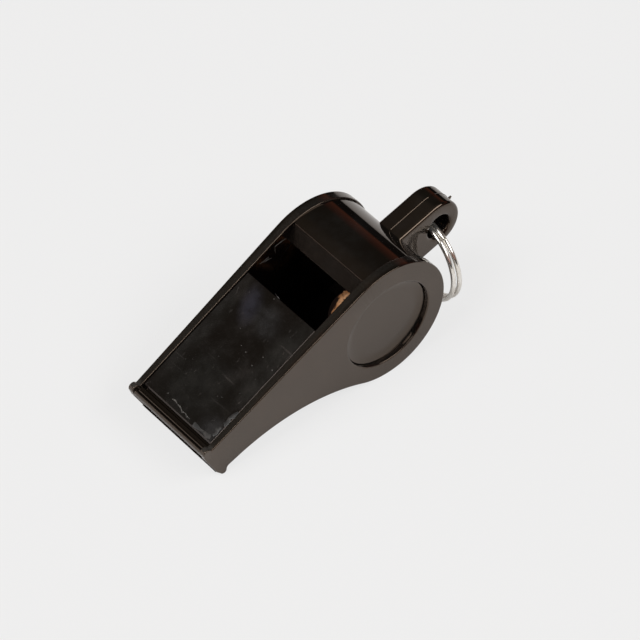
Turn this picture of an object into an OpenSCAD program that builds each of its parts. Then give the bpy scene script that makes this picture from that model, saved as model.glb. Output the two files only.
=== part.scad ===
// Plastic pea whistle lying on its belly, with a two-turn split ring through its tail eye.
// Lengths are millimetres. The pieces are drawn with the barrel axis along Y through the
// origin, the roof level and the mouth towards -X, and are then laid on the belly.

/* [Barrel] */
// Radius of the side walls round the barrel
barrel_r = 11.6; // [10.6:0.1:13.5]
// Width of the whistle across the barrel
body_w = 20; // [18:0.5:24]
// Thickness of each side wall
side_t = 1.85; // [1.5:0.05:2.2]
// Step down from the side walls' edges to the barrel skin
rim_step = 0.3; // [0.15:0.05:0.5]
// Thickness of the barrel skin round the chamber
skin_t = 1.75; // [1.4:0.05:2]

/* [Mouthpiece] */
// Distance from the barrel axis to the mouth end
mouth_len = 34.6; // [31:0.2:40]
// Width of the whistle at the mouth end
mouth_w = 18.5; // [17:0.25:20]
// Height of the underside at the mouth, above the barrel axis
mouth_under = 5.1; // [4:0.1:5.8]
// Thickness of the mouthpiece floor
floor_t = 1.5; // [1.2:0.1:1.8]
// Length of the moulded lip round the mouth
lip_len = 2.4; // [2:0.1:3]
// Height of the lip above the roof
lip_rise = 1.6; // [1:0.1:2.2]
// Depth of the lip's lower edge under the mouthpiece
lip_drop = 0.8; // [0.5:0.1:1]
// Radius of the lip's lower edge
lip_nub_r = 0.6; // [0.4:0.05:0.8]

/* [Window] */
// Length of the window from the roof plate to the blade
window_len = 7.8; // [6.5:0.1:8.4]
// Distance of the blade's tip in front of the barrel axis
blade_set = 1.1; // [0.5:0.1:2]
// Length of the blade's sloping face
blade_len = 2.75; // [2.2:0.05:3.5]
// Height of the air slot over the partition
slot_h = 1.1; // [0.8:0.05:1.6]
// Thickness of the partition in front of the chamber
partition_t = 2.2; // [1.8:0.1:2.8]

/* [Roof plate] */
// Thickness of the roof plate
roof_t = 1.5; // [1.2:0.05:1.8]
// Depth of the roof plate's face below the side walls' edges
roof_drop = 0.25; // [0.1:0.05:0.4]
// Width of the groove between the lip and the roof plate
groove_w = 0.6; // [0.4:0.05:1]
// Width of the ledges under the roof plate
ledge_w = 0.7; // [0.5:0.05:1]
// Thickness of the ledges under the roof plate
ledge_t = 0.8; // [0.6:0.05:1]
// Glue clearance round the roof plate
roof_clear = 0.05; // [0.03:0.01:0.1]

/* [Side caps] */
// Distance from the chamber wall in to the edge of a side cap
cap_land = 1.35; // [1:0.05:2]
// Depth of a cap's face below the side wall
cap_recess = 0.9; // [0.7:0.05:1.1]
// Width of the sloping shoulder round a cap
cap_shoulder_w = 1; // [0.6:0.05:1.4]
// Fall of the shoulder from the cap's face to its edge
cap_shoulder_h = 0.3; // [0.15:0.05:0.45]
// Glue clearance round a cap
cap_clear = 0.05; // [0.03:0.01:0.1]

/* [Tail eye] */
// Distance from the barrel axis to the centre of the eye's round end
eye_reach = 17.5; // [17:0.1:20]
// Radius of the eye's round end, half the height of the tail
eye_r = 4.35; // [4:0.05:5]
// Thickness of the tail
eye_t = 5.3; // [4.5:0.1:5.8]
// Angle of the tail below the roof line, in degrees
eye_angle = 11.1; // [6:0.1:16]
// Radius of the hole through the eye
hole_r = 2.15; // [2.05:0.05:2.4]
// Offset of the hole below the middle of the eye
hole_drop = 0.45; // [0.2:0.05:0.6]
// Length of the gate mark on the end of the eye
gate_l = 0.7; // [0.3:0.1:1]
// Radius of the gate mark
gate_r = 0.25; // [0.2:0.05:0.4]

/* [Pea] */
// Radius of the cork pea
pea_r = 4.8; // [4.2:0.1:5]
// Running gap between the pea and the chamber wall
pea_gap = 0.3; // [0.2:0.05:0.6]
// Running gap between the pea and the right side wall
pea_side_gap = 0.45; // [0.3:0.05:1]

/* [Split ring] */
// Radius of the ring to the middle of its wire
ring_r = 7.4; // [6.8:0.1:7.5]
// Diameter of the ring's wire
wire_d = 0.8; // [0.6:0.05:0.85]
// Gap between the ring's two turns
turn_gap = 0.45; // [0.42:0.01:0.5]
// Half of the arc over which the wire steps from one turn to the other, in degrees
step_angle = 28; // [24:1:36]
// Drop from the hole's axis to the top of the ring's wire circle
ring_drop = 0.3; // [0.1:0.05:0.4]
// Distance that the ring sits in front of the hole's axis
ring_lead = 0.6; // [0.4:0.05:0.7]
// Distance that the ring sits to the right of the eye's middle
ring_side = 0.6; // [0:0.05:0.8]
// Turn of the ring about the upright, in degrees
ring_yaw = 3; // [0:0.5:5]

/* [Hidden] */
$fn = 96;
overrun = 1;
black = [0.09, 0.085, 0.085];
cork_brown = [0.72, 0.48, 0.3];
steel = [0.8, 0.79, 0.76];

// Barrel and chamber
skin_r = barrel_r - rim_step;
chamber_r = skin_r - skin_t;
half_w = body_w / 2;
inner_half = half_w - side_t;
taper = (half_w - mouth_w / 2) / mouth_len;

// Underside of the mouthpiece: one arc that leaves the barrel smoothly and ends level
sweep_r = (mouth_len ^ 2 + mouth_under ^ 2 - barrel_r ^ 2) / (2 * (barrel_r + mouth_under));
sweep_c = [-mouth_len, mouth_under - sweep_r];

// Lip round the mouth
lip_r = lip_len / 2;
lip_top = barrel_r + lip_rise;
lip_back = lip_len - mouth_len;
lip_nose_c = [lip_r - mouth_len, lip_top - lip_r];
lip_nub_c = [lip_nub_r - mouth_len, mouth_under - lip_drop + lip_nub_r];

// Roof plate, window and blade
roof_top = barrel_r - roof_drop;
roof_under = roof_top - roof_t;
roof_front = lip_back + groove_w;
window_front = -(window_len + blade_set);
trough_front = roof_front + ledge_w;
partition_front = window_front - partition_t;
partition_top = roof_under - slot_h;
blade_tip = [-blade_set, sqrt(chamber_r ^ 2 - blade_set ^ 2)];
blade_x = blade_len - blade_set;
blade_back = [blade_x, sqrt(skin_r ^ 2 - blade_x ^ 2)];
blade_past_share = 0.8;
blade_run = blade_past_share * (blade_back - blade_tip);
blade_far = blade_back + blade_run;
blade_near = blade_tip - blade_run;

// Side caps
disc_r = chamber_r - cap_land;
cap_t = side_t - cap_recess;

// Tail eye and its hole
eye_dir = [cos(eye_angle), -sin(eye_angle)];
eye_down = [-sin(eye_angle), -cos(eye_angle)];
eye_c = eye_reach * eye_dir;
hole_c = eye_c + hole_drop * eye_down;
gate_reach = eye_reach + eye_r + gate_l;

// Tilt at which the lip's lower edge and the barrel both touch the table
nub_dist = norm(lip_nub_c);
rest_tilt = 180 + asin((barrel_r - lip_nub_r) / nub_dist) - atan2(lip_nub_c.y, lip_nub_c.x);
front_reach = lip_r - lip_nose_c.x * cos(rest_tilt) + lip_nose_c.y * sin(rest_tilt);
gate_tilt = rest_tilt - eye_angle;
back_reach = gate_reach * cos(gate_tilt) + gate_r * sin(gate_tilt);
axis_x = (front_reach - back_reach) / 2;

// A side view point, as it lies once the whistle is on its belly
function laid(p) = [
    axis_x + p.x * cos(rest_tilt) - p.y * sin(rest_tilt),
    0,
    barrel_r + p.x * sin(rest_tilt) + p.y * cos(rest_tilt)
];

// Split ring: one wire that runs nearly once round, steps over, and runs round again
wire_r = wire_d / 2;
turn_pitch = wire_d + turn_gap;
ring_c = laid(hole_c) - [ring_lead, ring_side, ring_drop + ring_r];
ring_across = [sin(ring_yaw), cos(ring_yaw), 0];
ring_axis = [cos(ring_yaw), -sin(ring_yaw), 0];
rings_a_turn = 24;
wire_sides = 6;
ring_steps = round(rings_a_turn * (720 - 2 * step_angle) / 360);
function smooth(u) = u <= 0 ? 0 : u >= 1 ? 1 : u * u * (3 - 2 * u);
function turn_angle(i) = step_angle + i * (720 - 2 * step_angle) / ring_steps;
function turn_level(a) = smooth((a - 360 + step_angle) / (2 * step_angle)) - 1 / 2;
function ring_out(a) = cos(a) * ring_across - [0, 0, sin(a)];
function wire_mid(i) =
    let (a = turn_angle(i))
    ring_c + ring_r * ring_out(a) + turn_pitch * turn_level(a) * ring_axis;
function wire_loop(i) = [
    for (k = [0:wire_sides - 1])
        wire_mid(i) + wire_r * (cos(360 * k / wire_sides) * ring_out(turn_angle(i))
            + sin(360 * k / wire_sides) * ring_axis)
];
wire_self_gap = min([
    for (i = [0:ring_steps]) for (j = [i + rings_a_turn / 2:ring_steps])
        norm(wire_mid(i) - wire_mid(j)) - wire_d
]);
echo(wire_self_gap = wire_self_gap, rest_tilt = rest_tilt, axis_x = axis_x, hole = laid(hole_c));

// Extrudes a side view shape across the whistle
module bar(w) {
    rotate([90, 0, 0]) linear_extrude(w, center = true) children();
}

// Points a round piece to the left along the barrel axis, from a distance off the middle
module across(from) {
    translate([0, from, 0]) rotate([-90, 0, 0]) children();
}

// Lays the whistle on its belly
module lay() {
    translate([axis_x, 0, barrel_r]) rotate([0, -rest_tilt, 0]) children();
}

// Plan shape of the whistle, drawn in from its side faces
module plan(inset, tall) {
    front_x = -mouth_len - overrun;
    front_y = half_w - inset + taper * front_x;
    back_x = barrel_r + overrun;
    back_y = half_w - inset;
    linear_extrude(tall, center = true) polygon([
        [front_x, -front_y],
        [0, -back_y],
        [back_x, -back_y],
        [back_x, back_y],
        [0, back_y],
        [front_x, front_y]
    ]);
}

// Side view shape of the barrel and mouthpiece
module whistle_bar(w) {
    bar(w) circle(barrel_r);
    difference() {
        bar(w) polygon([[-mouth_len, barrel_r], [0, barrel_r], [0, 0], sweep_c]);
        bar(w + overrun) translate(sweep_c) circle(sweep_r);
    }
}

// Rounded lip round the mouth
module lip_bar(w) {
    bar(w) translate(lip_nose_c) circle(lip_r);
    bar(w) translate([-mouth_len, mouth_under]) square([lip_len, lip_nose_c.y - mouth_under]);
    bar(w) translate(lip_nub_c) circle(lip_nub_r);
    bar(w) translate([-mouth_len, lip_nub_c.y]) square([2 * lip_nub_r, lip_nub_r]);
}

// Tail with a round end, and the gate mark on it
module tail() {
    rotate([0, eye_angle, 0]) {
        bar(eye_t) translate([eye_reach, 0]) circle(eye_r);
        bar(eye_t) translate([chamber_r, -eye_r]) square([eye_reach - chamber_r, 2 * eye_r]);
        translate([eye_reach, 0, 0]) rotate([0, 90, 0]) cylinder(h = eye_r + gate_l, r = gate_r);
    }
}

// Space between the side walls, above the barrel skin, from the blade round to the belly
module rim_cut() {
    difference() {
        bar(2 * inner_half) circle(barrel_r + overrun);
        bar(body_w) circle(skin_r);
        bar(body_w) polygon([
            [0, 0],
            sweep_c,
            [-2 * mouth_len, sweep_c.y],
            [-2 * mouth_len, 2 * barrel_r],
            [0, 2 * barrel_r]
        ]);
        bar(eye_t) rotate(-eye_angle) translate([0, -eye_r]) square([eye_reach, 2 * eye_r]);
    }
}

// Hollow of the mouthpiece, open at the top until the roof plate closes it
module trough() {
    difference() {
        bar(body_w) translate([trough_front, -barrel_r])
            square([partition_front - trough_front, 2 * barrel_r + overrun]);
        bar(body_w + overrun) translate(sweep_c) circle(sweep_r + floor_t);
    }
}

// Pocket that the roof plate drops into, the slot over the partition and the mouth slot
module roof_cuts() {
    bar(body_w) translate([lip_back, roof_under])
        square([window_front - lip_back, roof_drop + roof_t + overrun]);
    bar(body_w) translate([partition_front - overrun, partition_top])
        square([partition_t + 2 * overrun, slot_h + overrun]);
    bar(body_w) translate([-mouth_len - overrun, mouth_under + floor_t])
        square([
            trough_front + mouth_len + 2 * overrun,
            roof_under - ledge_t - mouth_under - floor_t
        ]);
}

// Window over the chamber, with the sloping blade at its back
module window_cut() {
    bar(body_w) polygon([
        [window_front, 0],
        [window_front, barrel_r + overrun],
        blade_far,
        blade_near,
        [0, 0]
    ]);
}

// Ledges along both side walls, under the roof plate
module ledges() {
    intersection() {
        difference() {
            plan(side_t - overrun / 2, 2 * barrel_r);
            plan(side_t + ledge_w, 2 * barrel_r + overrun);
        }
        bar(body_w) translate([trough_front - overrun, roof_under - ledge_t])
            square([window_front - trough_front + overrun, ledge_t]);
    }
}

module body() {
    color(black) lay() {
        difference() {
            union() {
                intersection() {
                    union() {
                        whistle_bar(body_w);
                        lip_bar(body_w);
                    }
                    plan(0, 4 * barrel_r);
                }
                tail();
            }
            bar(2 * inner_half) circle(chamber_r);
            rim_cut();
            intersection() {
                union() {
                    trough();
                    roof_cuts();
                    window_cut();
                }
                plan(side_t, 4 * barrel_r);
            }
            across(inner_half - overrun) cylinder(h = side_t + 2 * overrun, r = disc_r);
            mirror([0, 1, 0]) across(inner_half - overrun)
                cylinder(h = side_t + 2 * overrun, r = disc_r);
            bar(eye_t + overrun) translate(hole_c) circle(hole_r);
        }
        ledges();
    }
}

module roof_plate() {
    color(black) lay() intersection() {
        plan(side_t + roof_clear, 4 * barrel_r);
        bar(body_w) translate([roof_front, roof_under])
            square([window_front - roof_front, roof_t]);
    }
}

// Round cap glued into a side wall, with a shoulder round its outer face
module cap() {
    edge_t = cap_t - cap_shoulder_h;
    across(inner_half) {
        cylinder(h = edge_t, r = disc_r - cap_clear);
        translate([0, 0, edge_t]) cylinder(
            h = cap_shoulder_h,
            r1 = disc_r - cap_clear,
            r2 = disc_r - cap_clear - cap_shoulder_w
        );
    }
}

module right_cap() {
    color(black) lay() mirror([0, 1, 0]) cap();
}

module left_cap() {
    color(black) lay() cap();
}

// Cork ball resting low in the chamber, against the right side
module pea() {
    pea_y = inner_half - pea_side_gap - pea_r;
    pea_z = barrel_r - chamber_r + pea_gap + pea_r;
    color(cork_brown) translate([axis_x, -pea_y, pea_z]) sphere(pea_r);
}

module split_ring() {
    points = [for (i = [0:ring_steps]) each wire_loop(i)];
    last = ring_steps * wire_sides;
    sides = [
        for (i = [0:ring_steps - 1]) for (k = [0:wire_sides - 1])
            let (a = i * wire_sides + k, b = i * wire_sides + (k + 1) % wire_sides)
            each [[a, b, b + wire_sides], [a, b + wire_sides, a + wire_sides]]
    ];
    start_end = [for (k = [1:wire_sides - 2]) [0, k + 1, k]];
    far_end = [for (k = [1:wire_sides - 2]) [last, last + k, last + k + 1]];
    color(steel) polyhedron(points, concat(sides, start_end, far_end));
}

body();
roof_plate();
right_cap();
left_cap();
pea();
split_ring();
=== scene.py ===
# Looks of a plastic pea whistle that lies on its belly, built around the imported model.
# The whistle's own pieces are drawn in millimetres in its design frame, with the barrel axis along
# Y through the origin, the roof level and the mouth towards -X, and are then laid on the belly.
import math

import bmesh
import bpy
from mathutils import Matrix, Vector, noise


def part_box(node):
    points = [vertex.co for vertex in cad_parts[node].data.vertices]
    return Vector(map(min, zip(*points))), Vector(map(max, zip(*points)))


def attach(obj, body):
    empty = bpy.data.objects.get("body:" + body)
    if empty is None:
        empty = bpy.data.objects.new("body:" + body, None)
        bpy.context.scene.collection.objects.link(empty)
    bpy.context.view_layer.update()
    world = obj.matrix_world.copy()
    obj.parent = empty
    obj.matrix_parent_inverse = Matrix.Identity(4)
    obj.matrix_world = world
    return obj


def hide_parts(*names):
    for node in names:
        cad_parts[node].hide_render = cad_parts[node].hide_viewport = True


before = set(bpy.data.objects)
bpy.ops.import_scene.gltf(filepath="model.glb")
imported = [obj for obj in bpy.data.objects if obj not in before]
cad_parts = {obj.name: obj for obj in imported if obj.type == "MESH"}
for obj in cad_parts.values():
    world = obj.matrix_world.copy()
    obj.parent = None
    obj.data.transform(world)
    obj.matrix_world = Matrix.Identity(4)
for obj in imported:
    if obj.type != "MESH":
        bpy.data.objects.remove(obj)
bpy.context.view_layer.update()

MM = 0.001

# Barrel and side walls
barrel_r = 11.6
half_w = 10.0
side_t = 1.85
skin_drop = 0.3
skin_t = 1.75
skin_r = barrel_r - skin_drop
chamber_r = skin_r - skin_t
inner_half = half_w - side_t

# Mouthpiece, whose walls lean in towards the mouth and whose underside is one sweeping arc
mouth_len = 34.6
mouth_half = 9.25
mouth_under = 5.1
floor_t = 1.5
taper = (half_w - mouth_half) / mouth_len
taper_blend = 3.0
sweep_r = (mouth_len ** 2 + mouth_under ** 2 - barrel_r ** 2) / (2 * (barrel_r + mouth_under))
sweep_c = (-mouth_len, mouth_under - sweep_r)

# Lip: a nose on each wall, a nub along the lower edge and fronts that stand ahead of the mouth
nose_r = 0.75
nose_ahead = 0.1
nose_h = 0.9
nose_c = (nose_r - nose_ahead - mouth_len, barrel_r + nose_h - nose_r)
nose_foot_r = 0.35
nub_r = 0.6
nub_h = 0.8
nub_c = (nub_r - mouth_len, mouth_under - nub_h + nub_r)
nub_fillet_r = 0.8
underside_start = 2.6
wall_ahead = 0.3
wall_face_rise = 1.4
wall_face_drop = 0.6
wall_face_r = 0.6
lower_ahead = 0.42
lower_face_h = 1.0
lower_face_r = 0.4
lower_edge_r = 0.03
bead_ahead = 0.2
bead_h = 0.42
bead_l = 0.72
bead_face_h = 0.95
bead_face_r = 0.5
wall_front = mouth_len + wall_ahead
lower_front = mouth_len + lower_ahead
bead_front = mouth_len + bead_ahead
bead_top = barrel_r + bead_h

# Roof plate, window, blade and partition
roof_drop = 0.25
roof_t = 1.5
lip_l = 2.05
plate_rest_l = 1.65
window_front = -8.9
partition_t = 2.2
jet_h = 1.1
ledge_h = 0.8
ledge_w = 0.7
ledge_lead = 0.4
partition_edge_r = 0.25
plate_clear = 0.05
plate_edge_r = 0.12
plate_slope_w = 0.26
plate_slope_h = 0.125
plate_slope_r = 0.06
roof_top = barrel_r - roof_drop
roof_under = roof_top - roof_t
roof_front = lip_l - mouth_len
trough_front = roof_front + plate_rest_l
partition_front = window_front - partition_t
partition_top = roof_under - jet_h
slot_top = roof_under - ledge_h
slot_bottom = mouth_under + floor_t
blade_tip_x = -1.1
blade_back_x = 1.65
blade_tip_r = 0.06
blade_back_r = 0.3
blade_tip = (blade_tip_x, math.sqrt(chamber_r ** 2 - blade_tip_x ** 2))
blade_back = (blade_back_x, math.sqrt(skin_r ** 2 - blade_back_x ** 2))

# Groove in front of the plate, as steps of the lip's top going forward
groove_h = 0.8
groove_l = 0.35
groove_edge_r = 0.05
groove_foot_r = 0.08
sill_drop = 0.3
groove_floor = roof_top - groove_h
sill = barrel_r - sill_drop
# Each step is (distance ahead of the plate's rest, height over the sill, rounding)
GROOVE_STEPS = ((0.42, 0.0, 0.08), (0.88, 0.03, 0.1), (0.98, 0.46, 0.04))
# Each step is (distance behind the bead, height over the sill, rounding)
RIDGE_STEPS = ((0.36, 0.48, 0.06), (0.08, 0.345, 0.04), (0.0, 0.27, 0.04))
# Each step is (distance ahead of the bead's back, drop below the bead's top, rounding)
BEAD_STEPS = ((0.05, 0.02, 0.03), (0.14, 0.0, 0.06), (0.26, 0.08, 0.15), (0.5, 0.33, 0.3))

# Side caps, let into round holes a little below the barrel's axis
cap_shoulder = 1.35
cap_sink = 1.2
cap_rim_w = 2.1
cap_clear = 0.05
cap_dish_h = 0.3
cap_edge_r = 0.12
disc_drop = 0.38
disc_edge_w = 0.3
disc_edge_h = 0.2
disc_r = chamber_r - cap_shoulder
disc_hole_r = disc_r - disc_edge_w / 3
cap_t = side_t - cap_sink
cap_dish_r = disc_r - cap_rim_w

# Tail eye, with the gate mark on its end and the parting line round it
eye_reach = 17.5
eye_r = 4.35
eye_half_t = 2.65
eye_angle = math.radians(11.1)
eye_root = 10.2
hole_r = 2.15
hole_drop = 0.45
gate_r = 0.25
gate_l = 0.7
gate_root = 0.3
gate_bend = (0.03, 0.02)
gate_taper_shares = (1, 0.9, 0.55)
parting_r = 0.055
parting_lead = 0.5

# Rounding of the moulding's edges, and how far its inner parts run into the walls
wall_edge_r = 0.17
lip_edge_r = 0.04
tail_edge_r = 0.65
core_overlap = 0.9

# Solvent marks and specks on the plate
wavy_r = 0.05
wavy_swell = 0.09
wavy_flat = 0.5
film_r = 0.12
film_swell = 0.34
film_wave = 2.1
film_flat = 0.1
speck_narrow = 0.7
speck_flat = 0.3
speck_lump = 0.35
speck_lump_scale = 1.7
scuff_r = 0.045
scuff_end_r = 0.02
scuff_sunk = 0.01

# Cork, in shares of its radius
cork_skin = 0.012
cork_grain = 0.012
cork_grain_scale = 2.2
cork_pit = 0.16
cork_pit_scale = 9
cork_pit_from = 0.28

# Split ring
ring_r = 7.4
wire_r = 0.4
wire_end_share = 0.75
turn_pitch = 1.25
step_angle = 28
ring_lead = 0.6
ring_side = 0.6
ring_drop = 0.3
ring_yaw = math.radians(3)
ring_pinch = 0.3

# Resting tilt on the belly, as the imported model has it
nub_dist = math.hypot(*nub_c)
rest_tilt = math.pi + math.asin((barrel_r - nub_r) / nub_dist) - math.atan2(nub_c[1], nub_c[0])
pea_low, pea_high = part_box("pea")
axis_x = (pea_low.x + pea_high.x) / 2
LAY = (
    Matrix.Translation((axis_x, 0, barrel_r * MM))
    @ Matrix.Rotation(-rest_tilt, 4, "Y")
    @ Matrix.Scale(MM, 4)
)
EYE = Matrix.Rotation(eye_angle, 4, "Y")


def arc(centre, radius, start, end, steps):
    """Points along an arc, by angles in degrees, both ends included."""
    points = []
    for i in range(steps + 1):
        a = math.radians(start + (end - start) * i / steps)
        points.append((centre[0] + radius * math.cos(a), centre[1] + radius * math.sin(a)))
    return points


def circle(centre, radius, count):
    """Evenly spaced points round a whole circle."""
    return arc(centre, radius, 0, 360 - 360 / count, count - 1)


def angle_at(centre, point):
    """The direction from a centre to a point, in degrees."""
    return math.degrees(math.atan2(point[1] - centre[1], point[0] - centre[0]))


def corner(before, here, after, radius, steps=4):
    """Points that round one corner of an outline."""
    p = Vector(here)
    a = (Vector(before) - p).normalized()
    b = (Vector(after) - p).normalized()
    half = a.angle(b) / 2
    reach = radius / math.tan(half)
    centre = p + (a + b).normalized() * (radius / math.sin(half))
    start = p + a * reach - centre
    turn = start.angle_signed(p + b * reach - centre)
    points = []
    for k in range(steps + 1):
        q = Matrix.Rotation(-turn * k / steps, 2) @ start + centre
        points.append((q.x, q.y))
    return points


def rounded(spots):
    """An open outline through (x, z, radius), each inner corner rounded by its radius."""
    points = [spots[0][:2]]
    for before, here, after in zip(spots, spots[1:], spots[2:]):
        points += corner(before[:2], here[:2], after[:2], here[2]) if here[2] else [here[:2]]
    if spots[-1][2]:
        return points + corner(spots[-2][:2], spots[-1][:2], spots[0][:2], spots[-1][2])
    return points + [spots[-1][:2]]


def is_ccw(loop):
    """Whether a closed outline runs counterclockwise."""
    area = 0
    for (x0, z0), (x1, z1) in zip(loop, loop[1:] + loop[:1]):
        area += x0 * z1 - x1 * z0
    return area > 0


def inset(loop, distance):
    """The closed loop moved into the material, which lies to its left."""
    mitre_limit = 0.5
    moved = []
    count = len(loop)
    for i, (x, z) in enumerate(loop):
        px, pz = loop[i - 1]
        nx, nz = loop[(i + 1) % count]
        before = Vector((x - px, z - pz)).normalized()
        after = Vector((nx - x, nz - z)).normalized()
        mitre = Vector((-before.y - after.y, before.x + after.x))
        mitre = mitre / max(mitre.length_squared / 2, mitre_limit)
        moved.append((x + mitre.x * distance, z + mitre.y * distance))
    return moved


def slab(outer, holes, y_low, y_high, edge_r, edge_steps=4, hole_edge=None):
    """A flat plate across Y with the given side outline and holes, its edges rounded."""
    bm = bmesh.new()
    outer = outer if is_ccw(outer) else outer[::-1]
    holes = [h[::-1] if is_ccw(h) else h for h in holes]
    ends = {}
    for loop in [outer] + holes:
        wide, high = (edge_r, edge_r) if loop is outer or not hole_edge else hole_edge
        rows = [(0, y_low)]
        if wide:
            rows = []
            for k in range(edge_steps + 1):
                a = math.pi / 2 * k / edge_steps
                rows.append((wide * (1 - math.sin(a)), y_low + high * (1 - math.cos(a))))
        rows = rows + [(d, y_low + y_high - y) for d, y in rows[::-1]]
        ends.setdefault(0, [])
        ends.setdefault(len(rows) - 1, [])
        count = len(loop)
        rings = []
        for d, y in rows:
            points = inset(loop, d) if d else loop
            rings.append([bm.verts.new((x, y, z)) for x, z in points])
        for low, high in zip(rings, rings[1:]):
            for i in range(count):
                j = (i + 1) % count
                bm.faces.new((low[i], low[j], high[j], high[i]))
        for row, edges in ends.items():
            ring = rings[row]
            edges += [bm.edges.get((ring[i], ring[(i + 1) % count])) for i in range(count)]
    for edges in ends.values():
        bmesh.ops.triangle_fill(bm, use_beauty=True, use_dissolve=False, edges=edges)
    bmesh.ops.recalc_face_normals(bm, faces=bm.faces)
    return bm


def lean(bm, cuts=8):
    """Draws the outer faces in along Y towards the mouth, with a soft start at the barrel."""
    nearly_flat = 0.999
    for i in range(cuts + 1):
        x = -taper_blend + 2 * taper_blend * i / cuts
        flat = [f for f in bm.faces if abs(f.normal.y) > nearly_flat]
        corners = {v for f in flat for v in f.verts}
        borders = {e for f in flat for e in f.edges}
        geom = [*corners, *borders, *flat]
        bmesh.ops.bisect_plane(bm, geom=geom, plane_co=(x, 0, 0), plane_no=(1, 0, 0))
    for v in bm.verts:
        if v.co.x < -taper_blend:
            draw = -taper * v.co.x
        elif v.co.x < taper_blend:
            draw = taper * (taper_blend - v.co.x) ** 2 / (4 * taper_blend)
        else:
            draw = 0
        share = min(max((abs(v.co.y) - inner_half) / side_t, 0), 1)
        v.co.y -= math.copysign(draw * share, v.co.y)
    return bm


def tube(points, radii, sides=12):
    """A closed round tube along points, with a radius at each point."""
    bm = bmesh.new()
    points = [Vector(p) for p in points]
    rings = []
    across = None
    for i, p in enumerate(points):
        ahead = (points[min(i + 1, len(points) - 1)] - points[max(i - 1, 0)]).normalized()
        if across is None:
            across = ahead.orthogonal().normalized()
        across = (across - ahead * across.dot(ahead)).normalized()
        up = ahead.cross(across)
        ring = []
        for k in range(sides):
            a = 2 * math.pi * k / sides
            ring.append(bm.verts.new(p + (across * math.cos(a) + up * math.sin(a)) * radii[i]))
        rings.append(ring)
    for low, high in zip(rings, rings[1:]):
        for k in range(sides):
            j = (k + 1) % sides
            bm.faces.new((low[k], low[j], high[j], high[k]))
    bm.faces.new(rings[0][::-1])
    bm.faces.new(rings[-1])
    bmesh.ops.recalc_face_normals(bm, faces=bm.faces)
    return bm


def lathe(profile, segments=128):
    """A solid turned about Y from a profile of (radius, y) whose ends lie on the axis."""
    bm = bmesh.new()
    rings = []
    for r, y in profile:
        if r == 0:
            rings.append([bm.verts.new((0, y, 0))])
            continue
        ring = []
        for k in range(segments):
            a = 2 * math.pi * k / segments
            ring.append(bm.verts.new((r * math.cos(a), y, r * math.sin(a))))
        rings.append(ring)
    for low, high in zip(rings, rings[1:]):
        for k in range(segments):
            j = (k + 1) % segments
            if len(low) == 1:
                bm.faces.new((low[0], high[j], high[k]))
            elif len(high) == 1:
                bm.faces.new((low[k], low[j], high[0]))
            else:
                bm.faces.new((low[k], low[j], high[j], high[k]))
    bmesh.ops.recalc_face_normals(bm, faces=bm.faces)
    return bm


def as_object(bm, name):
    """An object in the scene that holds the mesh."""
    mesh = bpy.data.meshes.new(name)
    bm.to_mesh(mesh)
    bm.free()
    piece = bpy.data.objects.new(name, mesh)
    bpy.context.scene.collection.objects.link(piece)
    return piece


def apply_modifiers(piece):
    """Puts the result of the piece's modifiers into its mesh."""
    graph = bpy.context.evaluated_depsgraph_get()
    mesh = bpy.data.meshes.new_from_object(piece.evaluated_get(graph))
    piece.modifiers.clear()
    old = piece.data
    piece.data = mesh
    bpy.data.meshes.remove(old)


def combined(name, parts):
    """One closed mesh, the union of the parts."""
    base = parts[0]
    for part in parts[1:]:
        join = base.modifiers.new("join", "BOOLEAN")
        join.operation = "UNION"
        join.solver = "EXACT"
        join.object = part
        bpy.context.view_layer.update()
        apply_modifiers(base)
        bpy.data.objects.remove(part)
    base.name = name
    base.data.name = name
    return base


def shaded(piece, angle=35):
    """Smooth faces with creases at sharp edges, and normals that keep flat faces flat."""
    mesh = piece.data
    mesh.polygons.foreach_set("use_smooth", [True] * len(mesh.polygons))
    mesh.set_sharp_from_angle(angle=math.radians(angle))
    weighted = piece.modifiers.new("even", "WEIGHTED_NORMAL")
    weighted.keep_sharp = True
    weighted.weight = 100
    return piece


def nub_outline():
    """The lip's lower edge, with the fillet that leads to the underside."""
    fillet_end = 92
    side = nub_fillet_r + nub_c[1] - mouth_under
    run = math.sqrt((nub_r + nub_fillet_r) ** 2 - side ** 2)
    fillet_c = (nub_c[0] + run, mouth_under - nub_fillet_r)
    meet = angle_at(nub_c, fillet_c)
    points = arc(nub_c, nub_r, 180, 360 + meet, 12)
    points += arc(fillet_c, nub_fillet_r, 180 + meet, fillet_end, 6)[1:]
    return points


def underside():
    """The underside's arc, from the lip's fillet to where it meets the barrel."""
    first = math.degrees(math.acos((nub_c[0] + underside_start - sweep_c[0]) / sweep_r))
    return arc(sweep_c, sweep_r, first, angle_at(sweep_c, (0, 0)), 40)


belly_angle = angle_at((0, 0), sweep_c)


def wall_outline():
    """Side view of a side wall, from the nose round the mouthpiece and the barrel."""
    drop = nose_c[1] - barrel_r - nose_foot_r
    run = math.sqrt((nose_r + nose_foot_r) ** 2 - drop ** 2)
    foot_c = (nose_c[0] + run, barrel_r + nose_foot_r)
    meet = angle_at(nose_c, foot_c)
    points = arc(foot_c, nose_foot_r, 270, 180 + meet, 6)[:-1]
    points += arc(nose_c, nose_r, meet, 170, 24)
    points += rounded([
        (nose_c[0] - nose_r, nose_c[1], 0),
        (-wall_front, slot_top + wall_face_rise, wall_face_r),
        (-wall_front, slot_bottom - wall_face_drop, wall_face_r),
        (-mouth_len, nub_c[1], 0),
    ])[1:-1]
    points += nub_outline() + underside()
    points += arc((0, 0), barrel_r, belly_angle, 90, 116)[1:]
    points += [(-taper_blend * i / 4, barrel_r) for i in range(1, 5)]
    return points


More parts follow.
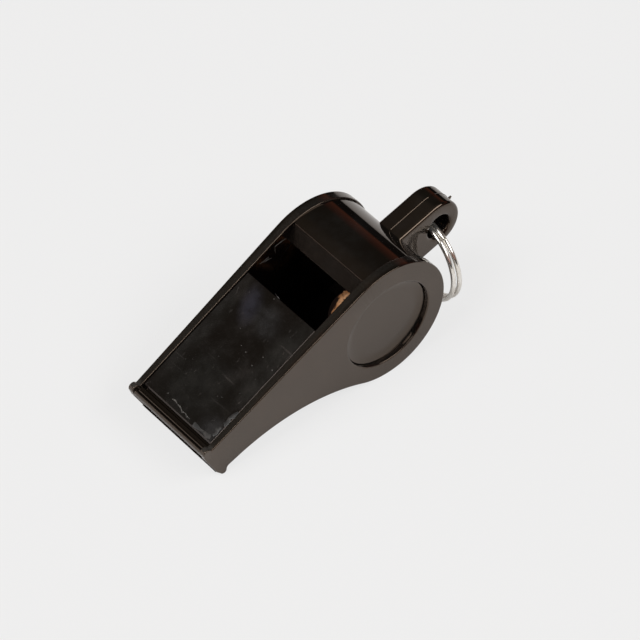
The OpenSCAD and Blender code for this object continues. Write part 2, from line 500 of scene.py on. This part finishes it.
def core_outline():
    """Side view of the floor, barrel skin, blade, partition and lower lip."""
    chamber_end = -180 - math.degrees(math.acos(-window_front / chamber_r))
    # The arcs stop this many degrees short of the blade, to leave room for its rounding
    back_gap = 2.5
    tip_gap = 4
    under_tip = (0.5, chamber_r)
    tip_angle = angle_at((0, 0), blade_tip)
    back_angle = angle_at((0, 0), blade_back)
    points = nub_outline() + underside()
    points += arc((0, 0), skin_r, belly_angle, back_angle - back_gap, 110)
    points += corner((skin_r, blade_back[1]), blade_back, blade_tip, blade_back_r)
    points += corner(blade_back, blade_tip, under_tip, blade_tip_r, steps=3)
    points += arc((0, 0), chamber_r, tip_angle - tip_gap, chamber_end, 110)
    back = (window_front, partition_top)
    front = (partition_front, partition_top)
    points += corner((window_front, 0), back, front, partition_edge_r)
    points += corner(back, front, (partition_front, 0), partition_edge_r)
    trough_r = sweep_r + floor_t
    start = math.degrees(math.acos((partition_front - sweep_c[0]) / trough_r))
    end = math.degrees(math.acos((trough_front - sweep_c[0]) / trough_r))
    points += arc(sweep_c, trough_r, start, end, 24)
    points += [(trough_front, slot_bottom)]
    return points + rounded([
        (trough_front, slot_bottom, 0),
        (-lower_front, slot_bottom, lower_edge_r),
        (-lower_front, slot_bottom - lower_face_h, lower_face_r),
        (-mouth_len, nub_c[1], 0),
    ])


def lip_beam_outline():
    """The bar over the mouth slot: a bead, a low ridge behind it and the groove at the plate."""
    rest = roof_front - plate_clear
    bead_back = bead_l - bead_front
    spots = [
        (trough_front, slot_top, 0),
        (trough_front, roof_under, 0),
        (rest, roof_under, 0),
        (rest, groove_floor, groove_edge_r),
        (rest - groove_l, groove_floor, groove_foot_r),
    ]
    spots += [(rest - ahead, sill + high, r) for ahead, high, r in GROOVE_STEPS]
    spots += [(bead_back + behind, sill + high, r) for behind, high, r in RIDGE_STEPS]
    spots += [(bead_back - ahead, bead_top - drop, r) for ahead, drop, r in BEAD_STEPS]
    spots += [
        (-bead_front, bead_top - bead_face_h, bead_face_r),
        (-bead_front, slot_top, groove_edge_r),
    ]
    return rounded(spots)


def tail_outline():
    """Side view of the tail, a straight tongue with a round end."""
    points = arc((eye_reach, 0), eye_r, -90, 90, 48)
    points += [(eye_root, eye_r), (eye_root, -eye_r)]
    return points


def ledge(side):
    """The rest for the roof plate along one side wall."""
    low, high = sorted((side * (inner_half - ledge_w), side * (inner_half + core_overlap / 2)))
    front = trough_front - ledge_lead
    outline = [
        (front, slot_top),
        (window_front, slot_top),
        (window_front, roof_under),
        (front, roof_under),
    ]
    return as_object(lean(slab(outline, [], low, high, 0)), "ledge")


def make_tail():
    """The tail with its eye, the gate mark on its end and the parting line round it."""
    tail = slab(
        tail_outline(), [circle((eye_reach, -hole_drop), hole_r, 72)],
        -eye_half_t, eye_half_t, tail_edge_r, edge_steps=6,
    )
    end_x = eye_reach + eye_r
    gate = tube(
        [(end_x - gate_root, 0, 0), (end_x + gate_l / 2, 0, 0), (end_x + gate_l, *gate_bend)],
        [gate_r * share for share in gate_taper_shares],
    )
    line = [(eye_root + parting_lead, 0, eye_r)]
    line += [(x, 0, z) for x, z in arc((eye_reach, 0), eye_r, 90, -90, 40)]
    line += [(eye_root + parting_lead, 0, -eye_r)]
    parting = tube(line, [parting_r] * len(line), sides=6)
    parts = []
    for name, bm in (("tail", tail), ("gate", gate), ("parting", parting)):
        bm.transform(EYE)
        parts.append(as_object(bm, name))
    return parts


def make_body():
    """The one-piece moulding: walls, floor, barrel skin, lip and tail."""
    disc_hole = circle((0, -disc_drop), disc_hole_r, 144)
    disc_edge = (disc_edge_w, disc_edge_h)
    end = inner_half + core_overlap
    parts = []
    for side in (-1, 1):
        low, high = sorted((side * inner_half, side * half_w))
        wall = slab(wall_outline(), [disc_hole], low, high, wall_edge_r, edge_steps=6, hole_edge=disc_edge)
        parts.append(as_object(lean(wall), "wall"))
    parts.append(as_object(lean(slab(core_outline(), [], -end, end, 0)), "core"))
    parts.append(as_object(lean(slab(lip_beam_outline(), [], -end, end, lip_edge_r)), "lip"))
    parts += [ledge(-1), ledge(1)]
    parts += make_tail()
    body = combined("moulded_body", parts)
    body.data.transform(LAY)
    return shaded(body)


def make_roof_plate():
    """The flat plate over the air way, its front edge sloped."""
    outline = rounded([
        (roof_front, roof_under, plate_edge_r),
        (window_front, roof_under, plate_edge_r),
        (window_front, roof_top, plate_edge_r),
        (roof_front + plate_slope_w, roof_top, plate_slope_r),
        (roof_front, roof_top - plate_slope_h, plate_slope_r),
    ])[1:]
    outline += corner(outline[-1], (roof_front, roof_under), (window_front, roof_under), plate_edge_r)
    end = inner_half - plate_clear
    plate = as_object(slab(outline, [], -end, end, plate_edge_r), "glued_roof")
    plate.data.transform(LAY)
    return shaded(plate)


def make_cap(side, name):
    """A round side cap, let in below the wall's face, its rim turned up a little."""
    r = disc_hole_r - cap_clear
    high = cap_t + cap_dish_h
    edge = corner((r, 0), (r, high), (0, high), cap_edge_r, steps=5)
    profile = [(0, inner_half), (r, inner_half)]
    profile += [(q, inner_half + y) for q, y in edge]
    steps = 12
    for k in range(1, steps + 1):
        u = k / steps
        q = r - cap_edge_r - (r - cap_edge_r - cap_dish_r) * u
        profile.append((q, inner_half + cap_t + cap_dish_h * (1 - u) ** 2))
    profile += [(0, inner_half + cap_t)]
    bm = lathe(profile)
    bm.transform(Matrix.Translation((0, 0, -disc_drop)))
    if side < 0:
        bm.transform(Matrix.Scale(-1, 4, (0, 1, 0)))
        bmesh.ops.reverse_faces(bm, faces=bm.faces)
    cap = as_object(bm, name)
    cap.data.transform(LAY)
    return shaded(cap)


def trail(path, radii, flat):
    """A low bead of dried solvent along (x, y) spots of the plate's top."""
    bm = tube([(x, y, 0) for x, y in path], radii, sides=10)
    bm.transform(Matrix.Translation((0, 0, roof_top)) @ Matrix.Scale(flat, 4, (0, 0, 1)))
    return bm


def gathered(name, meshes):
    """One piece from several small meshes, laid on the belly with the whistle."""
    whole = bmesh.new()
    for bm in meshes:
        part = bpy.data.meshes.new("part")
        bm.to_mesh(part)
        bm.free()
        whole.from_mesh(part)
        bpy.data.meshes.remove(part)
    piece = as_object(whole, name)
    piece.data.transform(LAY)
    return shaded(piece, angle=60)


def make_solvent_marks():
    """Dried solvent round the plate's front: a wavy line and a film in the right corner."""
    wavy = (
        [(-31.2, 3.9), (-31.0, 3.6)],
        [(-31.3, 2.5), (-31.15, 1.8), (-31.35, 1.2), (-31.35, 0.5), (-31.55, 0.0),
         (-31.75, -0.5), (-31.55, -1.0), (-31.8, -1.6), (-31.75, -2.3)],
    )
    film = (
        [(-32.0, -3.4), (-31.95, -4.2), (-31.9, -5.0), (-31.8, -5.8), (-31.9, -6.6), (-31.6, -7.3)],
        [(-31.2, -7.3), (-30.6, -7.6), (-30.1, -7.2), (-29.5, -7.5)],
        [(-28.9, -7.5), (-28.3, -7.8), (-27.6, -7.5), (-26.9, -7.8), (-26.0, -7.9)],
    )
    marks = []
    for path in wavy:
        marks.append(trail(path, [wavy_r + wavy_swell * (i % 2) for i in range(len(path))], wavy_flat))
    for path in film:
        radii = [film_r + film_swell * abs(math.sin(film_wave * x + y)) for x, y in path]
        marks.append(trail(path, radii, film_flat))
    return gathered("solvent_marks", marks)


def make_specks():
    """Dust and small chips stuck to the plate, each a low rounded grain of (x, y, half length)."""
    grains = (
        (-16.2, 2.2, 0.09), (-19.3, -4.0, 0.13), (-18.1, -0.1, 0.1), (-18.4, -1.5, 0.12),
        (-17.2, -4.4, 0.1), (-17.8, -7.2, 0.16), (-26.0, -3.9, 0.12), (-26.3, -3.2, 0.09),
        (-9.4, 1.3, 0.1), (-25.3, 5.7, 0.07), (-24.6, 4.7, 0.08), (-26.0, 7.0, 0.07),
        (-21.6, 1.6, 0.06), (-23.7, -5.8, 0.07), (-14.9, -3.1, 0.06), (-20.6, -6.1, 0.06),
        (-28.3, 2.4, 0.06), (-12.2, -5.6, 0.06),
    )
    meshes = []
    for x, y, r in grains:
        bm = bmesh.new()
        bmesh.ops.create_icosphere(bm, subdivisions=3, radius=1)
        for v in bm.verts:
            v.co *= 1 + speck_lump * noise.noise(v.co * speck_lump_scale + Vector((x, y, 0)))
        size = Matrix.Diagonal((r * speck_narrow, r, r * speck_flat, 1))
        bm.transform(Matrix.Translation((x, y, roof_top)) @ size)
        meshes.append(bm)
    return gathered("plate_specks", meshes)


def make_inner_scuffs():
    """Fine scuffs on the inner face of the left wall, beside the window, as (x, z) paths."""
    y = inner_half - scuff_sunk
    paths = (
        [(-1.0, 9.9), (-2.2, 10.4), (-3.15, 10.6), (-3.45, 10.0), (-3.8, 9.1)],
        [(-6.7, 10.4), (-5.9, 10.15), (-4.9, 9.9)],
        [(-6.2, 9.9), (-5.4, 9.6), (-4.7, 9.1)],
    )
    meshes = []
    for path in paths:
        radii = [scuff_end_r] + [scuff_r] * (len(path) - 2) + [scuff_end_r]
        meshes.append(tube([(x, y, z) for x, z in path], radii, sides=6))
    return gathered("window_scuffs", meshes)


def make_pea():
    """A cork ball, pitted inwards from its packed radius."""
    centre = (pea_low + pea_high) / 2
    radius = (pea_high.z - pea_low.z) / 2
    bm = bmesh.new()
    bmesh.ops.create_icosphere(bm, subdivisions=6, radius=1)
    for v in bm.verts:
        n = v.co.normalized()
        grain = noise.fractal(n * cork_grain_scale, 1.0, 2.0, 4)
        pit = max(0.0, noise.noise(n * cork_pit_scale) - cork_pit_from)
        deep = cork_skin + cork_grain * grain + cork_pit * pit
        v.co = centre + n * radius * (1 - max(deep, 0))
    return shaded(as_object(bm, "cork_ball"), angle=80)


def make_ring():
    """One spring wire that runs nearly once round, steps over and runs round again."""
    hole = LAY @ EYE @ Vector((eye_reach, 0, -hole_drop))
    centre = hole - Vector((ring_lead, ring_side, ring_drop + ring_r)) * MM
    across = Vector((math.sin(ring_yaw), math.cos(ring_yaw), 0))
    axis = Vector((math.cos(ring_yaw), -math.sin(ring_yaw), 0))
    steps = 264
    points = []
    radii = []
    for i in range(steps + 1):
        a = step_angle + i * (720 - 2 * step_angle) / steps
        u = min(max((a - 360 + step_angle) / (2 * step_angle), 0), 1)
        level = u * u * (3 - 2 * u) - 1 / 2
        out = across * math.cos(math.radians(a)) - Vector((0, 0, math.sin(math.radians(a))))
        spread = turn_pitch * (1 - ring_pinch * max(-math.sin(math.radians(a)), 0))
        points.append(centre + (out * ring_r + axis * spread * level) * MM)
        from_end = min(i, steps - i)
        radii.append(wire_r * MM * min(1, wire_end_share + (1 - wire_end_share) * from_end))
    return shaded(as_object(tube(points, radii, sides=20), "spring_wire"), angle=50)


class Shader:
    """A material's node tree, with short calls to add nodes and links."""

    def __init__(self, name):
        """Starts a material, whose patterns lie in the object's own place in metres."""
        self.material = bpy.data.materials.new(name)
        self.material.use_nodes = True
        self.nodes = self.material.node_tree.nodes
        self.links = self.material.node_tree.links
        self.bsdf = self.nodes["Principled BSDF"]
        self.place = self.add("ShaderNodeTexCoord").outputs["Object"]

    def add(self, kind, **settings):
        """A new node with the given settings."""
        node = self.nodes.new(kind)
        for key, value in settings.items():
            setattr(node, key, value)
        return node

    def join(self, source, target):
        """Links an output to an input."""
        self.links.new(source, target)

    def set(self, **values):
        """Sets inputs of the surface shader, with _ for the spaces in their names."""
        for key, value in values.items():
            self.bsdf.inputs[key.replace("_", " ")].default_value = value

    def scaled(self, scale):
        """The place, stretched along its axes."""
        mapping = self.add("ShaderNodeMapping")
        mapping.inputs["Scale"].default_value = scale
        self.join(self.place, mapping.inputs["Vector"])
        return mapping.outputs["Vector"]

    def noise(self, scale, detail=3, rough=0.5, stretch=(1, 1, 1), distortion=0):
        """A noise from 0 to 1, with about as many spots to a metre as its scale says."""
        node = self.add("ShaderNodeTexNoise")
        node.inputs["Scale"].default_value = scale
        node.inputs["Detail"].default_value = detail
        node.inputs["Roughness"].default_value = rough
        node.inputs["Distortion"].default_value = distortion
        self.join(self.scaled(stretch), node.inputs["Vector"])
        return node.outputs["Fac"]

    def ramp(self, value, low, high, out_low=0.0, out_high=1.0):
        """A soft step from one output to another, as the value goes from low to high."""
        node = self.add("ShaderNodeMapRange", interpolation_type="SMOOTHSTEP")
        for key, number in zip(
            ("From Min", "From Max", "To Min", "To Max"), (low, high, out_low, out_high)
        ):
            node.inputs[key].default_value = number
        self.join(value, node.inputs["Value"])
        return node.outputs["Result"]

    def math(self, operation, a, b):
        """A sum or comparison of two outputs or numbers."""
        node = self.add("ShaderNodeMath", operation=operation)
        for socket, value in zip(node.inputs, (a, b)):
            if isinstance(value, (int, float)):
                socket.default_value = value
            else:
                self.join(value, socket)
        return node.outputs["Value"]

    def mix(self, factor, a, b):
        """A colour between two colours or outputs."""
        node = self.add("ShaderNodeMix", data_type="RGBA")
        self.join(factor, node.inputs["Factor"])
        for key, value in (("A", a), ("B", b)):
            socket = [s for s in node.inputs if s.name == key and s.type == "RGBA"][0]
            if isinstance(value, tuple):
                socket.default_value = (*value, 1)
            else:
                self.join(value, socket)
        return [s for s in node.outputs if s.type == "RGBA"][0]

    def patch(self, centre, radii, turn=0):
        """1 at a spot in the design frame, falling softly to 0 at the given half sizes."""
        node = self.add("ShaderNodeMapping", vector_type="TEXTURE")
        node.inputs["Location"].default_value = LAY @ Vector(centre)
        spin = Matrix.Rotation(-rest_tilt, 3, "Y") @ Matrix.Rotation(math.radians(turn), 3, "Z")
        node.inputs["Rotation"].default_value = spin.to_euler()
        node.inputs["Scale"].default_value = Vector(radii) * MM
        self.join(self.place, node.inputs["Vector"])
        ball = self.add("ShaderNodeTexGradient", gradient_type="SPHERICAL")
        self.join(node.outputs["Vector"], ball.inputs["Vector"])
        return ball.outputs["Fac"]

    def inside_oval(self, radii):
        """1 within an oval ball round the middle of the barrel, 0 outside it, with a crisp edge."""
        reach = 10
        crisp = 0.0005
        edge = 1 - 1 / reach
        near = self.patch((0, 0, 0), [r * reach for r in radii])
        return self.ramp(near, edge - crisp, edge + crisp)

    def axes(self):
        """The place in the design frame, in millimetres, split into its three axes."""
        turn = self.add("ShaderNodeMapping", vector_type="TEXTURE")
        turn.inputs["Location"].default_value = LAY @ Vector((0, 0, 0))
        turn.inputs["Rotation"].default_value = (0, -rest_tilt, 0)
        turn.inputs["Scale"].default_value = (MM, MM, MM)
        self.join(self.place, turn.inputs["Vector"])
        axes = self.add("ShaderNodeSeparateXYZ")
        self.join(turn.outputs["Vector"], axes.inputs["Vector"])
        return axes

    def room(self, along, half):
        """1 in the part of the whistle between two cuts along it and within a half width."""
        axes = self.axes()
        wide = self.math("LESS_THAN", self.math("ABSOLUTE", axes.outputs["Y"], 0), half)
        ahead = self.math("GREATER_THAN", axes.outputs["X"], along[0])
        behind = self.math("LESS_THAN", axes.outputs["X"], along[1])
        return self.math("MULTIPLY", wide, self.math("MULTIPLY", ahead, behind))

    def bump(self, height, distance, strength):
        """Fine relief of the given depth in metres."""
        node = self.add("ShaderNodeBump")
        node.inputs["Distance"].default_value = distance
        node.inputs["Strength"].default_value = strength
        self.join(height, node.inputs["Height"])
        if self.bsdf.inputs["Normal"].is_linked:
            self.join(self.bsdf.inputs["Normal"].links[0].from_socket, node.inputs["Normal"])
        self.join(node.outputs["Normal"], self.bsdf.inputs["Normal"])


WARM_BLACK = (0.0042, 0.0034, 0.0030)
# Painted shade inside the chamber and under the window
SHADED_INNER_BLACK = (0.0012, 0.0010, 0.0010)
RIM_GREY = (0.0125, 0.0122, 0.0115)
NOSE_GREY = (0.034, 0.033, 0.031)
# A painted warm reflection on the flat sides
FLANK_REFLECTION_BROWN = (0.013, 0.009, 0.007)
HAZE_GREY = (0.0085, 0.0080, 0.0078)
SMUDGE_BLUE = (0.021, 0.021, 0.029)
SMUDGE_GREY = (0.024, 0.024, 0.025)
FRONT_GREY = (0.0095, 0.0097, 0.0093)
EDGE_GREY = (0.0145, 0.0142, 0.0135)
FILM_GREY = (0.040, 0.037, 0.034)
SOLVENT_SHADE = (0.04, 0.039, 0.037)
DRIED_SOLVENT = (0.10, 0.094, 0.086)
CORK_SHADE = (0.50, 0.22, 0.09)
CORK_LIGHT = (0.76, 0.42, 0.22)
CORK_PORE = (0.10, 0.04, 0.02)
# Dark blotches on the cork, also used as painted shade on one side
CORK_BLOTCH_AND_SHADE = (0.012, 0.005, 0.003)
STEEL_SHADE = (0.76, 0.73, 0.67)
STEEL_LIGHT = (0.89, 0.88, 0.85)
PAPER = (0.863, 0.863, 0.863)
PAPER_EVEN = 0.86
PAPER_GLOSS_EVEN = 0.1

# Depths of relief in metres
gloss_wave = 0.02 * MM
cork_relief = 0.2 * MM

# Hazes and smudges on the plate: centre (x, y), half sizes, turn in degrees, colour, and the
# level of the patch at which the colour is full
PLATE_SMUDGES = (
    ((-27.5, 0.5), (9, 8.5, 3), 0, FRONT_GREY, 0.7),
    ((-16, -7.4), (13, 4.2, 3), 0, EDGE_GREY, 0.6),
    ((-30.8, -6.4), (3.4, 3.4, 2), 0, SMUDGE_GREY, 0.8),
    ((-20, 7.6), (12, 3.0, 3), 0, EDGE_GREY, 0.7),
    ((-12.4, 3.6), (4.6, 2.6, 2), 25, SMUDGE_BLUE, 0.9),
    ((-12.9, -0.9), (4.4, 3.2, 2), 60, SMUDGE_GREY, 0.9),
)


def black_plastic():
    """Gloss black moulding: painted shade in the chamber, a painted warm reflection on its flat sides,
    rims painted a lighter grey, and duller where worn on its rims and the blade.
    """
    shader = Shader("black_plastic")
    shader.set(IOR=1.68, Specular_Tint=(1.0, 0.76, 0.58, 1))
    haze = shader.ramp(shader.noise(120, detail=4, rough=0.6), 0.45, 0.75)
    outside = shader.mix(haze, WARM_BLACK, HAZE_GREY)

    # The narrow top faces of the walls are painted a lighter grey, most of all on the two noses
    rim_in = 0.1
    rim_out = 0.2
    nose_patch_r = 2.4
    off_middle = shader.math("ABSOLUTE", shader.axes().outputs["Y"], 0)
    rim = shader.math(
        "MULTIPLY",
        shader.ramp(off_middle, inner_half, inner_half + rim_in),
        shader.ramp(off_middle, mouth_half - rim_out, half_w - rim_out, out_low=1, out_high=0),
    )
    grain = shader.ramp(shader.noise(3500, detail=2, rough=0.6), 0.3, 0.7, out_low=0.3)
    outside = shader.mix(shader.math("MULTIPLY", rim, grain), outside, RIM_GREY)
    for side in (-1, 1):
        nose = shader.patch((nose_c[0], side * mouth_half, nose_c[1]), (nose_patch_r, nose_patch_r, nose_patch_r))
        nose = shader.math("MULTIPLY", shader.ramp(nose, 0.2, 0.6), rim)
        outside = shader.mix(nose, outside, NOSE_GREY)

    # The flat sides get a blotchy brown painted in as a warm reflection, which starts a little inside
    # their faces
    flank_in = 0.4
    flank_full = 0.1
    flank = shader.ramp(off_middle, mouth_half - flank_in, mouth_half - flank_full)
    flank_reflection = shader.math("MULTIPLY", flank, shader.ramp(shader.noise(240, detail=4, rough=0.6), 0.4, 0.7))
    outside = shader.mix(flank_reflection, outside, FLANK_REFLECTION_BROWN)

    # The chamber and the space under the window are left unpolished, and painted darker as shade
    skin = 0.05
    lead = 1
    inside = shader.inside_oval((chamber_r + skin, inner_half, chamber_r + skin))
    under_window = shader.room((window_front - lead, blade_tip_x), inner_half + skin)
    inside = shader.math("MAXIMUM", inside, under_window)
    shader.join(shader.mix(inside, outside, SHADED_INNER_BLACK), shader.bsdf.inputs["Base Color"])

    # Fine streaks along the whistle, duller where it is worn
    blade_short = 0.1
    streaks = shader.noise(900, rough=0.6, stretch=(0.08, 1, 1))
    rough = shader.ramp(streaks, 0.5, 0.8, out_low=0.02, out_high=0.06)
    blade = shader.room((blade_tip_x, blade_back_x - blade_short), inner_half)
    for worn, share in ((blade, 0.14), (rim, 0.14), (inside, 0.12)):
        rough = shader.math("ADD", rough, shader.math("MULTIPLY", worn, share))
    shader.join(rough, shader.bsdf.inputs["Roughness"])
    shader.bump(shader.noise(160, detail=2), gloss_wave, strength=0.15)
    return shader.material


def roof_plastic():
    """Gloss black sheet: handled, finely scratched and fogged by solvent."""
    shader = Shader("roof_plastic")
    shader.set(IOR=1.58, Specular_Tint=(1.0, 0.84, 0.76, 1))
    cloud = shader.noise(260, detail=5, rough=0.65)
    scratches = shader.noise(1500, detail=2, stretch=(0.05, 1, 1), distortion=0.4)
    cross = shader.noise(1300, detail=2, stretch=(1, 0.06, 1), distortion=0.6)
    lines = shader.ramp(shader.math("MAXIMUM", scratches, cross), 0.66, 0.74)
    tone = shader.mix(shader.ramp(cloud, 0.4, 0.75), WARM_BLACK, HAZE_GREY)
    tone = shader.mix(shader.math("MULTIPLY", lines, 0.35), tone, SMUDGE_GREY)
    for (x, y), radii, turn, colour, full in PLATE_SMUDGES:
        spot = shader.ramp(shader.patch((x, y, roof_top), radii, turn), 0.0, full)
        spot = shader.math("MULTIPLY", spot, shader.ramp(cloud, 0.3, 0.6, out_low=0.35))
        tone = shader.mix(spot, tone, colour)
    shader.join(tone, shader.bsdf.inputs["Base Color"])
    rough = shader.ramp(cloud, 0.35, 0.8, out_low=0.12, out_high=0.24)
    rough = shader.math("ADD", rough, shader.math("MULTIPLY", lines, 0.12))
    shader.join(rough, shader.bsdf.inputs["Roughness"])
    shader.bump(shader.noise(180, detail=2), gloss_wave, strength=0.2)
    return shader.material


def dried_solvent():
    """Whitish residue, thinner and worn through in the right corner of the plate."""
    shader = Shader("dried_solvent")
    tone = shader.ramp(shader.noise(1800, detail=3, rough=0.6), 0.35, 0.65)
    thick = shader.mix(tone, SOLVENT_SHADE, DRIED_SOLVENT)
    gaps = shader.noise(900, detail=5, rough=0.7, stretch=(1, 0.5, 1))
    worn = shader.ramp(gaps, 0.46, 0.56)
    thin = shader.mix(shader.math("MULTIPLY", tone, worn), FRONT_GREY, FILM_GREY)
    corner_film = shader.ramp(shader.patch((-30, -7, roof_top), (9, 4.5, 3)), 0.0, 0.15)
    shader.join(shader.mix(corner_film, thick, thin), shader.bsdf.inputs["Base Color"])
    shader.set(Roughness=0.5)
    return shader.material


def cork():
    """Raw cork with random dark blotches, and shade painted dark on one side of the ball."""
    shader = Shader("cork")
    tone = shader.noise(600, detail=4, rough=0.6)
    pores = shader.ramp(shader.noise(1400, detail=3, rough=0.7), 0.5, 0.6)
    base = shader.mix(shader.ramp(tone, 0.35, 0.65), CORK_SHADE, CORK_LIGHT)
    base = shader.mix(pores, base, CORK_PORE)
    r = (pea_high.z - pea_low.z) / 2 / MM
    # Painted shade: one side of the ball is darkened, blended with the random dark blotches
    shade_side = Vector((-0.22, 0.83, 0.49)).normalized()
    spot = LAY.inverted() @ ((pea_low + pea_high) / 2) + shade_side * r
    painted_shade = shader.ramp(shader.patch(spot, (r, r, r)), 0.43, 0.5, out_high=0.25)
    blotch_and_shade = shader.ramp(shader.math("ADD", shader.noise(150, detail=3, rough=0.6), painted_shade), 0.58, 0.66)
    shader.join(shader.mix(blotch_and_shade, base, CORK_BLOTCH_AND_SHADE), shader.bsdf.inputs["Base Color"])
    shader.set(Roughness=0.85, Specular_IOR_Level=0.15)
    shader.bump(shader.noise(1400, detail=3, rough=0.7), cork_relief, strength=0.6)
    return shader.material


def ring_steel():
    """Bright plated wire, a little cloudy."""
    shader = Shader("ring_steel")
    shader.set(Metallic=0.9)
    tone = shader.noise(500, detail=3, rough=0.6)
    colour = shader.mix(shader.ramp(tone, 0.3, 0.7), STEEL_SHADE, STEEL_LIGHT)
    shader.join(colour, shader.bsdf.inputs["Base Color"])
    rough = shader.ramp(tone, 0.3, 0.8, out_low=0.12, out_high=0.24)
    shader.join(rough, shader.bsdf.inputs["Roughness"])
    return shader.material


def dress(piece, material, body, slot, *nodes):
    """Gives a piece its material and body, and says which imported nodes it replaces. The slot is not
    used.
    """
    piece.data.materials.clear()
    piece.data.materials.append(material)
    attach(piece, body)
    if nodes:
        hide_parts(*nodes)


# Camera: the photograph's view, from far off with a long lens. Angles in degrees, sizes in metres
camera_azimuth = -39.94
camera_elevation = 47.43
camera_roll = 0.33
camera_distance = 0.667
camera_aim = Vector((0.001825, -0.000152, 0.00825))
camera_lens = 240.2
camera_sensor = 36
camera_near = 0.01
camera_far = 20

# Lamps, world and floor, in degrees, metres and watts
lamp_distance = 1.5
floor_half = 3.0
# Colours of the room by the height of the direction, from level at 0 to straight up at 1
ROOM_STOPS = (
    (0.00, (0.006, 0.005, 0.004)),
    (0.23, (0.005, 0.004, 0.003)),
    (0.29, (0.36, 0.11, 0.055)),
    (0.42, (0.20, 0.07, 0.043)),
    (0.53, (0.055, 0.048, 0.033)),
    (0.70, (0.055, 0.052, 0.037)),
    (0.80, (0.08, 0.076, 0.06)),
    (0.90, (0.24, 0.21, 0.17)),
)
# The room is full bright towards -X and fades to a share of that towards +X
ROOM_FADE = (("From Min", -0.35), ("From Max", 0.1), ("To Min", 1.0), ("To Max", 0.66))


def direction(azimuth, elevation):
    """The way from the whistle to a camera or lamp, by angles in degrees as the views count them."""
    a, e = math.radians(azimuth), math.radians(elevation)
    return Vector((math.sin(a) * math.cos(e), -math.cos(a) * math.cos(e), math.sin(e)))


def make_camera():
    """The camera at the photograph's viewing angle."""
    data = bpy.data.cameras.new("camera")
    data.sensor_width = camera_sensor
    data.lens = camera_lens
    data.clip_start = camera_near
    data.clip_end = camera_far
    camera = bpy.data.objects.new("camera", data)
    bpy.context.scene.collection.objects.link(camera)
    back = direction(camera_azimuth, camera_elevation)
    turn = (-back).to_track_quat("-Z", "Y").to_matrix()
    turn = turn @ Matrix.Rotation(-math.radians(camera_roll), 3, "Z")
    camera.matrix_world = Matrix.Translation(camera_aim + back * camera_distance) @ turn.to_4x4()
    bpy.context.scene.camera = camera


def make_lamp(name, azimuth, elevation, size, power):
    """An oval soft white lamp that points at the whistle from a direction."""
    data = bpy.data.lights.new(name, "AREA")
    data.shape = "ELLIPSE"
    data.size, data.size_y = size
    data.energy = power
    lamp = bpy.data.objects.new(name, data)
    bpy.context.scene.collection.objects.link(lamp)
    back = direction(azimuth, elevation)
    lamp.location = back * lamp_distance
    lamp.rotation_euler = (-back).to_track_quat("-Z", "Y").to_euler()


def make_world():
    """A dim room: dark at the horizon, a warm band over it, and a ceiling that fades to one side."""
    world = bpy.data.worlds.new("room")
    world.use_nodes = True
    nodes, links = world.node_tree.nodes, world.node_tree.links
    place = nodes.new("ShaderNodeTexCoord")
    split = nodes.new("ShaderNodeSeparateXYZ")
    links.new(place.outputs["Generated"], split.inputs["Vector"])
    ramp = nodes.new("ShaderNodeValToRGB")
    while len(ramp.color_ramp.elements) < len(ROOM_STOPS):
        ramp.color_ramp.elements.new(1)
    for element, (spot, colour) in zip(ramp.color_ramp.elements, ROOM_STOPS):
        element.position = spot
        element.color = (*colour, 1)
    links.new(split.outputs["Z"], ramp.inputs["Fac"])
    fade = nodes.new("ShaderNodeMapRange")
    for key, number in ROOM_FADE:
        fade.inputs[key].default_value = number
    links.new(split.outputs["X"], fade.inputs["Value"])
    dim = nodes.new("ShaderNodeVectorMath")
    dim.operation = "SCALE"
    links.new(ramp.outputs["Color"], dim.inputs["Vector"])
    links.new(fade.outputs["Result"], dim.inputs["Scale"])
    links.new(dim.outputs["Vector"], nodes["Background"].inputs["Color"])
    nodes["Background"].inputs["Strength"].default_value = 1
    bpy.context.scene.world = world


def paper():
    """Pale paper whose even tone shows straight on and in gloss, over its own soft shadow."""
    shader = Shader("paper")
    shader.set(Base_Color=(*PAPER, 1), Roughness=0.9, Specular_IOR_Level=0)
    glow = shader.add("ShaderNodeEmission")
    glow.inputs["Color"].default_value = (*PAPER, 1)
    rays = shader.add("ShaderNodeLightPath").outputs
    mirrored = shader.math("MAXIMUM", rays["Is Glossy Ray"], rays["Is Transmission Ray"])
    seen = shader.math("MULTIPLY", rays["Is Camera Ray"], PAPER_EVEN)
    seen = shader.math("MAXIMUM", seen, shader.math("MULTIPLY", mirrored, PAPER_GLOSS_EVEN))
    blend = shader.add("ShaderNodeMixShader")
    shader.join(seen, blend.inputs["Fac"])
    shader.join(shader.bsdf.outputs["BSDF"], blend.inputs[1])
    shader.join(glow.outputs["Emission"], blend.inputs[2])
    shader.join(blend.outputs["Shader"], shader.nodes["Material Output"].inputs["Surface"])
    return shader.material


def make_floor():
    """The plain floor under the whistle."""
    bm = bmesh.new()
    corners = ((-1, -1), (1, -1), (1, 1), (-1, 1))
    bm.faces.new([bm.verts.new((x * floor_half, y * floor_half, 0)) for x, y in corners])
    floor = as_object(bm, "floor")
    floor.data.materials.append(paper())


make_camera()
make_world()
make_floor()
make_lamp("key", 25, 45, size=(1.7, 0.7), power=14.5)
make_lamp("fill", -95, 55, size=(0.9, 0.9), power=13.0)
make_lamp("strip", -122, 17, size=(1.3, 0.4), power=1.5)

plastic = black_plastic()
dress(make_body(), plastic, "whistle", "black_plastic", "body")
dress(make_roof_plate(), roof_plastic(), "whistle", "roof_plastic", "roof_plate")
residue = dried_solvent()
dress(make_solvent_marks(), residue, "whistle", "roof_plastic")
dress(make_specks(), residue, "whistle", "roof_plastic")
dress(make_inner_scuffs(), residue, "whistle", "black_plastic")
dress(make_cap(-1, "side_cap_right"), plastic, "whistle", "black_plastic", "right_cap")
dress(make_cap(1, "side_cap_left"), plastic, "whistle", "black_plastic", "left_cap")
dress(make_pea(), cork(), "loose_pea", "cork", "pea")
dress(make_ring(), ring_steel(), "ring", "ring_steel", "split_ring")

bpy.context.scene.view_settings.view_transform = "Standard"
